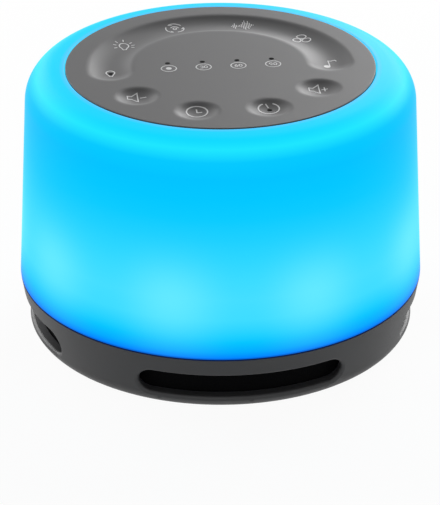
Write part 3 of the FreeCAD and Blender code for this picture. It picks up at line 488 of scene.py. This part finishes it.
def round_corner(
    before: Point2, corner: Point2, after: Point2, radius: float, steps: int
) -> list[Point2]:
    """Points of the arc that rounds a corner.

    Args:
        before: The corner before.
        corner: The corner to round.
        after: The corner after.
        radius: Radius of the arc.
        steps: How many steps the arc has.

    Returns:
        The points, from the first tangent point to the second.
    """
    at = Vector(corner)
    back = (Vector(before) - at).normalized()
    ahead = (Vector(after) - at).normalized()
    half = back.angle(ahead) / 2
    centre = at + (back + ahead).normalized() * (radius / math.sin(half))
    first = at + back * (radius / math.tan(half)) - centre
    last = at + ahead * (radius / math.tan(half)) - centre
    turn = first.angle_signed(last)
    points = []
    for step in range(steps + 1):
        angle = -turn * step / steps
        along = Vector((
            first.x * math.cos(angle) - first.y * math.sin(angle),
            first.x * math.sin(angle) + first.y * math.cos(angle),
        ))
        points.append(tuple(centre + along))
    return points


def soften(corners: Sequence[tuple[float, float, float]], steps: int = 10) -> list[Point2]:
    """Round the corners of a closed profile.

    Args:
        corners: Radius, height and rounding radius of each corner, 0 for a sharp one.
        steps: How many steps each arc has.

    Returns:
        The points of the profile.
    """
    points: list[Point2] = []
    count = len(corners)
    for index, (across, up, rounding) in enumerate(corners):
        if rounding <= 0:
            points.append((across, up))
            continue
        before = corners[index - 1][:2]
        after = corners[(index + 1) % count][:2]
        points.extend(round_corner(before, (across, up), after, rounding, steps))
    return points


def dress(piece: bpy.types.Object, material: bpy.types.Material, body: str = "root") -> bpy.types.Object:
    """Give a piece its material and the body that it rides on."""
    piece.data.materials.clear()
    piece.data.materials.append(material)
    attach(piece, body)
    LOG.info("built %s on %s", piece.name, body)
    return piece


# Sub-assemblies


@dataclass
class GlowShade:
    """The frosted shade: a slightly tapered wall, a round shoulder and a thin lip."""

    low: float = 17.5 * MM
    wall: float = 2.0 * MM
    bottom_rad: float = 56.0 * MM
    shoulder: Point2 = (52.74 * MM, 76.3 * MM)
    shoulder_bend: float = 9.0 * MM
    lip_rad: float = 42.1 * MM
    top: float = 77.8 * MM
    ledge_rad: float = 39.6 * MM
    ledge: float = 75.4 * MM
    ledge_thick: float = 1.6 * MM
    crown_thick: float = 0.5 * MM
    lap_out: float = 53.9 * MM
    lap_in: float = 52.2 * MM
    lap_low: float = 15.8 * MM
    lap_step: float = 0.6 * MM
    lap_taper: float = 2.4 * MM
    foot_round: float = 0.35 * MM
    lip_round: float = 0.45 * MM
    lamp_count: int = 9

    def profile(self) -> list[Point2]:
        """The wall's outline, up the outside and down the inside."""
        corner_x, corner_z = self.shoulder
        inner = self.shoulder_bend - self.wall
        return soften(
            [
                (self.bottom_rad, self.low, self.foot_round),
                (corner_x, corner_z, self.shoulder_bend),
                (self.lip_rad, self.top, self.lip_round),
                (self.lip_rad, self.ledge, 0.0),
                (self.ledge_rad, self.ledge, 0.0),
                (self.ledge_rad, self.ledge - self.ledge_thick, 0.0),
                (corner_x - self.wall, corner_z - self.wall - self.crown_thick, inner),
                (self.bottom_rad - self.wall, self.low + self.lap_taper, 0.0),
                (self.lap_in, self.low + self.lap_step, 0.0),
                (self.lap_in, self.lap_low, 0.0),
                (self.lap_out, self.lap_low, 0.0),
                (self.lap_out, self.low, 0.0),
            ],
            steps=18,
        )

    def build(self) -> bpy.types.Object:
        """Make the shade and hide the plain one."""
        piece = lathe("frosted_shade", self.profile(), 360)
        finish = GlowFinish(self.low, self.top, self.lamp_count)
        dress(piece, finish.make())
        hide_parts("glow_shade")
        return piece


@dataclass
class TouchPanel:
    """The grey top disc, with four finger dimples and one long curved finger groove."""

    radius: float = 42.0 * MM
    low: float = 75.4 * MM
    top: float = 77.8 * MM
    edge: float = 0.25 * MM
    dimple_rad: float = 5.75 * MM
    side_dimple_ring: float = 30.5 * MM
    side_dimple_turn: float = 52.5
    front_dimple_ring: float = 31.2 * MM
    front_dimple_turn: float = 17.6
    dimple_deep: float = 1.3 * MM
    groove_ring: float = 29.9 * MM
    groove_half: float = 6.0 * MM
    groove_end: float = 92.85
    print_shift: float = 1.2 * MM
    brim: float = 0.14
    rings: int = 130
    steps: int = 640

    def dimple_spots(self) -> list[Point2]:
        """Centres of the dimples, from left to right."""
        places = (
            (self.side_dimple_ring, -self.side_dimple_turn),
            (self.front_dimple_ring, -self.front_dimple_turn),
            (self.front_dimple_ring, self.front_dimple_turn),
            (self.side_dimple_ring, self.side_dimple_turn),
        )
        spots = []
        for ring, turn in places:
            angle = math.radians(turn)
            spots.append((ring * math.sin(angle), -ring * math.cos(angle)))
        return spots

    def groove_spot(self, turn: float) -> Point2:
        """A place on the groove's centre line, turned from the back in degrees, + to the right."""
        angle = math.radians(turn)
        return self.groove_ring * math.sin(angle), self.groove_ring * math.cos(angle)

    def print_spot(self, middle: Point2) -> Point2:
        """Where a sign is printed in a recess: a little behind the recess's middle."""
        return middle[0], middle[1] + self.print_shift

    def groove_gap(self, x: float, y: float) -> float:
        """Distance from a point to the groove's centre line."""
        turn = math.degrees(math.atan2(x, y))
        if abs(turn) <= self.groove_end:
            return abs(math.hypot(x, y) - self.groove_ring)
        end_x, end_y = self.groove_spot(math.copysign(self.groove_end, turn))
        return math.hypot(x - end_x, y - end_y)

    def bowl(self, share: float) -> float:
        """Depth of a round bowl, 0 to 1, at a share of its radius, with a soft brim."""
        join = 1 - self.brim
        if share >= 1 + self.brim:
            return 0.0
        if share > join:
            return join * (1 + self.brim - share) ** 2 / (2 * self.brim)
        return 2 * join * self.brim + join**2 - share**2

    def height(self, x: float, y: float) -> float:
        """Height of the panel's top at a point."""
        deepest = self.bowl(self.groove_gap(x, y) / self.groove_half)
        for spot_x, spot_y in self.dimple_spots():
            away = math.hypot(x - spot_x, y - spot_y)
            deepest = max(deepest, self.bowl(away / self.dimple_rad))
        return self.top - self.dimple_deep * deepest

    def build(self) -> bpy.types.Object:
        """Make the panel and hide the plain one."""
        mesh = bmesh.new()
        flat = self.radius - self.edge
        made = [self._ring(mesh, flat * ring / self.rings) for ring in range(1, self.rings + 1)]
        for share in (0.25, 0.5, 0.75, 1.0):
            angle = share * math.pi / 2
            out = flat + self.edge * math.sin(angle)
            down = self.top - self.edge * (1 - math.cos(angle))
            made.append(self._ring(mesh, out, down))
        made.append(self._ring(mesh, self.radius, self.low))
        grid_faces(mesh, made, closed=False)
        crown = mesh.verts.new((0, 0, self.height(0, 0)))
        first = made[0]
        for index, vert in enumerate(first):
            mesh.faces.new((crown, vert, first[(index + 1) % self.steps]))
        foot = mesh.verts.new((0, 0, self.low))
        last = made[-1]
        for index, vert in enumerate(last):
            mesh.faces.new((foot, last[(index + 1) % self.steps], vert))
        piece = finish_mesh("panel_skin", mesh, smooth_deg=60.0)
        dress(piece, self.finish())
        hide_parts("touch_panel")
        return piece

    def _ring(
        self, mesh: bmesh.types.BMesh, radius: float, level: float | None = None
    ) -> list[bmesh.types.BMVert]:
        """Add a ring of points round the axis.

        Args:
            mesh: The mesh that the ring goes into.
            radius: Radius of the ring.
            level: Height of a level ring. Without it the points lie on the dished top.

        Returns:
            The ring's points, in order.
        """
        ring = []
        for step in range(self.steps):
            angle = 2 * math.pi * step / self.steps
            x, y = radius * math.cos(angle), radius * math.sin(angle)
            ring.append(mesh.verts.new((x, y, self.height(x, y) if level is None else level)))
        return ring

    def finish(self) -> bpy.types.Material:
        """Satin mid grey plastic with a very fine texture."""
        shader = Shader("panel_satin")
        fine = shader.noise(5200.0, 2.0)
        cloud = shader.noise(45.0, 2.0)
        return shader.finish(
            Base_Color=shader.mix(cloud, tone(88, 88, 89), tone(94, 94, 95)),
            Roughness=0.46 + 0.06 * cloud,
            Specular_IOR_Level=0.15,
            Normal=shader.bump(fine, 0.2, 0.004 * MM),
        )


@dataclass
class Symbols:
    """The thin light grey symbols printed on the panel."""

    panel: TouchPanel
    line: float = 0.3 * MM
    proud: float = 0.02 * MM
    sunk: float = 0.06 * MM
    timer_pitch: float = 9.45 * MM
    timer_y: float = -1.3 * MM
    timer_ring: float = 2.05 * MM
    figure_size: float = 0.8
    ink: bpy.types.Material = field(init=False)

    def __post_init__(self) -> None:
        """Mix the printing ink."""
        self.ink = self.print_ink()

    def arc(
        self, centre: Point2, radius: float, start: float, end: float, steps: int = 24
    ) -> list[Point2]:
        """Points of an arc.

        Args:
            centre: Its centre, in millimetres.
            radius: Its radius, in millimetres.
            start: The angle where it starts, in degrees.
            end: The angle where it ends, in degrees.
            steps: How many steps it has.

        Returns:
            The points, in millimetres.
        """
        points = []
        for step in range(steps + 1):
            angle = math.radians(start + (end - start) * step / steps)
            points.append((centre[0] + radius * math.cos(angle), centre[1] + radius * math.sin(angle)))
        return points

    def stroke(self, mesh: bmesh.types.BMesh, at: Point2, points: Sequence[Point2], width: float) -> None:
        """Lay one line on the panel as a thin raised strip.

        Args:
            mesh: The mesh that the strip goes into.
            at: Where the symbol's centre is, in metres.
            points: The line, in millimetres from that centre. It closes if it ends where it starts.
            width: Width of the line in metres.
        """
        path = [Vector((at[0] + x * MM, at[1] + y * MM)) for x, y in self.fill_in(points)]
        closed = (path[0] - path[-1]).length < 1e-6
        if closed:
            path.pop()
        rows = []
        count = len(path)
        for index, here in enumerate(path):
            before = path[index - 1] if closed or index else here
            after = path[(index + 1) % count] if closed or index < count - 1 else here
            back = (here - before).normalized() if before is not here else (after - here).normalized()
            ahead = (after - here).normalized() if after is not here else back
            along = (back + ahead).normalized() if (back + ahead).length > 1e-6 else ahead
            side = Vector((-along.y, along.x))
            stretch = 1 / max(0.5, side.dot(Vector((-ahead.y, ahead.x))))
            reach = side * (width / 2 * stretch)
            corners = []
            for sign, drop in ((1, 0), (-1, 0), (-1, 1), (1, 1)):
                spot = here + reach * sign
                height = self.panel.height(spot.x, spot.y) + (-self.sunk if drop else self.proud)
                corners.append(mesh.verts.new((spot.x, spot.y, height)))
            rows.append(corners)
        grid_faces(mesh, rows, closed=closed)
        if not closed:
            mesh.faces.new(rows[0])
            mesh.faces.new(rows[-1])

    @staticmethod
    def fill_in(points: Sequence[Point2], step: float = 0.5) -> list[Point2]:
        """Divide long runs so that a line follows the dished panel."""
        filled = [points[0]]
        for before, after in zip(points, points[1:]):
            length = math.dist(before, after)
            parts = max(1, math.ceil(length / step))
            for part in range(1, parts + 1):
                share = part / parts
                across = before[0] + (after[0] - before[0]) * share
                up = before[1] + (after[1] - before[1]) * share
                filled.append((across, up))
        return filled

    def draw(
        self, name: str, at: Point2, lines: Iterable[Sequence[Point2]], width: float | None = None
    ) -> None:
        """Make one symbol as a piece.

        Args:
            name: Name of the piece.
            at: Where the symbol's centre is, in metres.
            lines: Its lines, in millimetres from that centre.
            width: Width of its lines in metres, the usual one if left out.
        """
        mesh = bmesh.new()
        for points in lines:
            self.stroke(mesh, at, points, width or self.line)
        piece = finish_mesh(name, mesh)
        dress(piece, self.ink)

    def speaker(self, extra: Sequence[Sequence[Point2]]) -> list[Sequence[Point2]]:
        """A loudspeaker's outline with more lines beside it."""
        upper = [(-2.5, 0.8), (-1.4, 0.8), (0.2, 2.3)]
        lower = [(across, -up) for across, up in reversed(upper)]
        return [[*upper, *lower, upper[0]], *extra]

    def clock(self) -> list[Sequence[Point2]]:
        """A clock face with two hands."""
        return [self.arc((0, 0), 2.75, 0, 360, 48), [(0, 1.55), (0, 0), (1.35, 0)]]

    def power(self) -> list[Sequence[Point2]]:
        """The common power sign."""
        return [self.arc((0, 0), 2.75, 118, 422, 48), [(-0.55, 2.5), (0, 0.7)]]

    def note(self) -> list[Sequence[Point2]]:
        """A quaver with a filled head."""
        heads = [self.arc((-1.0, -1.7), radius, 0, 360, 20) for radius in (0.75, 0.45, 0.15)]
        return [*heads, [(-0.2, -1.6), (-0.2, 2.2), (0.5, 2.0), (1.6, 2.35), (2.0, 1.5)]]

    def fan(self) -> list[Sequence[Point2]]:
        """Three blades round a hub."""
        lines = [self.arc((0, 0), 0.45, 0, 360, 16)]
        for turn in (90, 210, 330):
            blade = []
            for step in range(25):
                share = step / 24
                swing = math.radians(turn + 60 * math.sin(math.pi * (share - 0.5)) * (1 - 0.35 * share))
                reach = 0.5 + 2.1 * math.sin(math.pi * share) ** 0.6
                blade.append((reach * math.cos(swing), reach * math.sin(swing)))
            blade.append(blade[0])
            lines.append(blade)
        return lines

    def wave(self) -> list[Sequence[Point2]]:
        """A burst of sound as upright bars of changing height."""
        heights = (0.2, 0.9, 1.7, 0.7, 0.3, 0.6, 1.0, 1.9, 2.6, 1.5, 2.2, 1.2, 0.5, 0.2)
        pitch = 0.47
        start = -pitch * (len(heights) - 1) / 2
        lines = []
        for index, tall in enumerate(heights):
            x = start + pitch * index
            lines.append([(x, -tall), (x, tall)])
        return lines

    def cycle(self) -> list[Sequence[Point2]]:
        """Three arrows that chase each other round a dot."""
        inner, outer = 1.95, 2.55
        lines = [self.arc((0, 0), 0.5, 0, 360, 16), self.arc((0, 0), 1.2, 20, 160, 16)]
        for turn in (90, 210, 330):
            lines.append(self.arc((0, 0), outer, turn - 46, turn + 40, 20))
            tip = math.radians(turn + 46)
            barb = math.radians(turn + 22)
            lines.append([
                (inner * math.cos(barb), inner * math.sin(barb)),
                (outer * math.cos(tip), outer * math.sin(tip)),
            ])
        return lines

    def bulb(self, size: float) -> list[Point2]:
        """Outline of a lamp bulb."""
        round_glass = self.arc((0, 0), 1.3 * size, -50, 230, 30)
        glass = [(across, 0.6 * size + 1.25 * up) for across, up in round_glass]
        right, left = (0.4 * size, -2.0 * size), (-0.4 * size, -2.0 * size)
        return [right, *glass, left, right]

    def rays(self) -> list[Sequence[Point2]]:
        """Short rays round a bulb."""
        lines = []
        for turn in (-22, 8, 40, 90, 140, 172, 202):
            angle = math.radians(turn)
            inner = (2.1 * math.cos(angle), 0.5 + 2.7 * math.sin(angle))
            outer = (3.0 * math.cos(angle), 0.5 + 3.7 * math.sin(angle))
            lines.append([inner, outer])
        return lines

    def digit(self, figure: str, left: float) -> list[Sequence[Point2]]:
        """One plain figure, with its left edge at a place."""
        shapes: dict[str, list[Sequence[Point2]]] = {
            "0": [[(x * 0.52, y * 0.95) for x, y in self.arc((0, 0), 1.0, 0, 360, 20)]],
            "3": [self.arc((0, 0.45), 0.5, 150, -80, 12) + self.arc((0, -0.45), 0.52, 80, -150, 12)],
            "6": [self.arc((0, -0.42), 0.52, 0, 360, 16), [(-0.52, -0.42), (-0.35, 0.4), (0.25, 0.95)]],
            "9": [self.arc((0, 0.42), 0.52, 0, 360, 16), [(0.52, 0.42), (0.35, -0.4), (-0.25, -0.95)]],
        }
        size = self.figure_size
        return [[(size * x + left + 0.52, size * y) for x, y in line] for line in shapes[figure]]

    def timer(self, label: str) -> list[Sequence[Point2]]:
        """What stands inside a timer ring: a number of minutes, or a filled dot."""
        if label == "dot":
            return [self.arc((0, 0), radius, 0, 360, 16) for radius in (0.7, 0.45, 0.2)]
        return self.digit(label[0], -1.1) + self.digit(label[1], 0.06)

    def build(self) -> None:
        """Make every symbol."""
        low, clock, power, loud = (self.panel.print_spot(spot) for spot in self.panel.dimple_spots())
        minus = [[(0.8, -0.1), (2.5, -0.1)]]
        plus = [[(0.8, -0.1), (2.5, -0.1)], [(1.65, 1.0), (1.65, -1.2)]]
        self.draw("volume_down_symbol", low, self.speaker(minus))
        self.draw("timer_symbol", clock, self.clock(), 0.36 * MM)
        self.draw("power_symbol", power, self.power(), 0.36 * MM)
        self.draw("volume_up_symbol", loud, self.speaker(plus))
        groove = (
            ("note_symbol", 92.85, self.note()),
            ("fan_symbol", 55.7, self.fan()),
            ("wave_symbol", 18.6, self.wave()),
            ("cycle_symbol", -18.6, self.cycle()),
            ("bright_lamp_symbol", -55.7, [self.bulb(1.0), *self.rays()]),
            ("dim_lamp_symbol", -92.85, [self.bulb(0.9)]),
        )
        for name, turn, lines in groove:
            width = 0.2 * MM if name == "wave_symbol" else self.line
            self.draw(name, self.panel.print_spot(self.panel.groove_spot(turn)), lines, width)
        for index, label in enumerate(("dot", "30", "60", "90")):
            x = (index - 1.5) * self.timer_pitch
            ring = self.arc((0, 0), self.timer_ring / MM, 0, 360, 40)
            self.draw(f"timer_ring_{label}", (x, self.timer_y), [ring], 0.26 * MM)
            self.draw(f"timer_mark_{label}", (x, self.timer_y), self.timer(label), 0.22 * MM)

    def print_ink(self) -> bpy.types.Material:
        """Light grey printing ink, a little uneven."""
        shader = Shader("print_ink")
        cloud = shader.noise(900.0, 3.0)
        return shader.finish(
            Base_Color=shader.mix(cloud, tone(196, 196, 197), tone(226, 226, 227)),
            Roughness=0.5 + 0.1 * cloud,
        )


@dataclass
class LightWindows:
    """The small black windows over the indicator lights."""

    panel: TouchPanel
    radius: float = 0.7 * MM
    timer_pitch: float = 9.45 * MM
    timer_y: float = 2.3 * MM
    power_shift: Point2 = (0.2 * MM, -0.3 * MM)
    proud: float = 0.03 * MM
    crown: float = 0.05 * MM
    sunk: float = 1.2 * MM

    def spots(self) -> list[Point2]:
        """Where the windows are: four over the timers, one at the power sign, one at the small lamp."""
        places = [(step * self.timer_pitch, self.timer_y) for step in (-1.5, -0.5, 0.5, 1.5)]
        power = self.panel.print_spot(self.panel.dimple_spots()[2])
        places.append((power[0] + self.power_shift[0], power[1] + self.power_shift[1]))
        places.append(self.panel.print_spot(self.panel.groove_spot(-self.panel.groove_end)))
        return places

    def build(self) -> None:
        """Make the windows as domed plugs."""
        shader = Shader("window_black")
        cloud = shader.noise(1500.0, 2.0)
        material = shader.finish(
            Base_Color=shader.mix(cloud, tone(2, 2, 3), tone(5, 5, 6)),
            Roughness=0.7 + 0.1 * cloud,
            Specular_IOR_Level=0.03,
        )
        for number, (x, y) in enumerate(self.spots()):
            level = self.panel.height(x, y) + self.proud
            profile = [
                (0.02 * self.radius, level + self.crown),
                (0.5 * self.radius, level + 0.8 * self.crown),
                (0.85 * self.radius, level + 0.35 * self.crown),
                (self.radius, level),
                (self.radius, level - self.sunk),
                (0.02 * self.radius, level - self.sunk),
            ]
            piece = lathe(f"light_window_{number}", profile, 40)
            piece.data.transform(Matrix.Translation((x, y, 0)))
            dress(piece, material)


@dataclass
class FrameDress:
    """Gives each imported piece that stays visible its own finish."""

    hidden: tuple[str, ...] = ("glow_shade", "touch_panel")

    def dress(self) -> None:
        """Put a finish on every node, by its slot in the record."""
        made = {slot: finish.make() for slot, finish in FINISHES.items()}
        slots = {part["node"]: part["material_slot"] for part in frame["record"]["subparts"]}
        for node, thing in frame["nodes"].items():
            if node in self.hidden:
                continue
            material = made[slots[node]]
            if not thing.material_slots:
                thing.data.materials.append(material)
            for holder in thing.material_slots:
                holder.material = material
            LOG.info("dressed %s in %s", node, material.name)


# Studio


@dataclass
class Studio:
    """A plain pale floor, soft lights and the camera at the photograph's viewing angle."""

    distance: float = 728.0 * MM
    elevation: float = 27.15
    turn: float = -6.5
    aim: Point3 = (-0.15 * MM, 0.0, 20.6 * MM)
    lens: float = 185.0
    sensor: float = 36.0
    lamp_aim: Point3 = (0.0, 0.0, 40.0 * MM)
    floor_size: float = 8.0
    floor_drop: float = 0.1 * MM
    floor_white: float = 0.95
    world_level: float = 0.07
    boxes: tuple[tuple[str, Point3, Point2, float], ...] = (
        ("back_left_box", (-0.75, 0.95, 0.50), (1.2, 0.6), 14.0),
        ("back_right_box", (0.75, 0.95, 0.50), (1.2, 0.6), 20.0),
        ("front_box", (-0.3, -1.2, 0.9), (1.0, 0.8), 2.0),
    )

    def camera(self) -> None:
        """Place the camera."""
        data = bpy.data.cameras.new("camera")
        data.lens = self.lens
        data.sensor_width = self.sensor
        data.clip_start = 0.01
        camera = bpy.data.objects.new("camera", data)
        bpy.context.scene.collection.objects.link(camera)
        rise = math.radians(self.elevation)
        swing = math.radians(self.turn)
        target = Vector(self.aim)
        away = Vector((
            math.sin(swing) * math.cos(rise),
            -math.cos(swing) * math.cos(rise),
            math.sin(rise),
        ))
        camera.location = target + away * self.distance
        camera.rotation_euler = (-away).to_track_quat("-Z", "Y").to_euler()
        bpy.context.scene.camera = camera

    def floor(self) -> None:
        """A pale floor that the camera sees as white, with the object's soft shadow."""
        mesh = bmesh.new()
        bmesh.ops.create_grid(mesh, x_segments=8, y_segments=8, size=self.floor_size / 2)
        floor = finish_mesh("floor", mesh)
        floor.data.transform(Matrix.Translation((0, 0, -self.floor_drop)))
        shader = Shader("pale_floor")
        white = shader.node("ShaderNodeEmission", {}, {"Color": WHITE, "Strength": 1.0})
        plain = Sum(shader, shader.surface.outputs[0])
        share = shader.seen() * self.floor_white
        blended = shader.node("ShaderNodeMixShader", {}, {0: share, 1: plain, 2: white})
        shader.set(shader.output.inputs["Surface"], blended)
        cloud = shader.noise(3.0, 2.0)
        material = shader.finish(
            Base_Color=shader.mix(cloud, (0.80, 0.80, 0.80), (0.84, 0.84, 0.84)), Roughness=0.8
        )
        floor.data.materials.append(material)

    def lamp(self, name: str, place: Point3, size: Point2, power: float) -> None:
        """A soft box aimed at the object."""
        data = bpy.data.lights.new(name, "AREA")
        data.shape = "RECTANGLE"
        data.size, data.size_y = size
        data.energy = power
        lamp = bpy.data.objects.new(name, data)
        bpy.context.scene.collection.objects.link(lamp)
        lamp.location = place
        aim = Vector(self.lamp_aim) - Vector(place)
        lamp.rotation_euler = aim.to_track_quat("-Z", "Y").to_euler()

    def light(self) -> None:
        """Light the object evenly from all round, with softer boxes behind and at the sides."""
        scene = bpy.context.scene
        scene.view_settings.view_transform = "Standard"
        world = bpy.data.worlds.new("pale_room")
        world.use_nodes = True
        sky = Nodes(world.node_tree)
        background = sky.tree.nodes["Background"]
        sky.set(background.inputs["Color"], WHITE)
        level = self.world_level + sky.seen() * (1 - self.world_level)
        sky.set(background.inputs["Strength"], level)
        scene.world = world
        for name, place, size, power in self.boxes:
            self.lamp(name, place, size, power)

    def build(self) -> None:
        """Set the whole studio up."""
        self.camera()
        self.floor()
        self.light()


def main() -> None:
    """Build the object and the studio, in order."""
    logging.basicConfig(level=logging.INFO, format="%(message)s")
    Studio().build()
    GlowShade().build()
    panel = TouchPanel()
    panel.build()
    Symbols(panel).build()
    LightWindows(panel).build()
    FrameDress().dress()


if __name__ == "__main__":
    main()
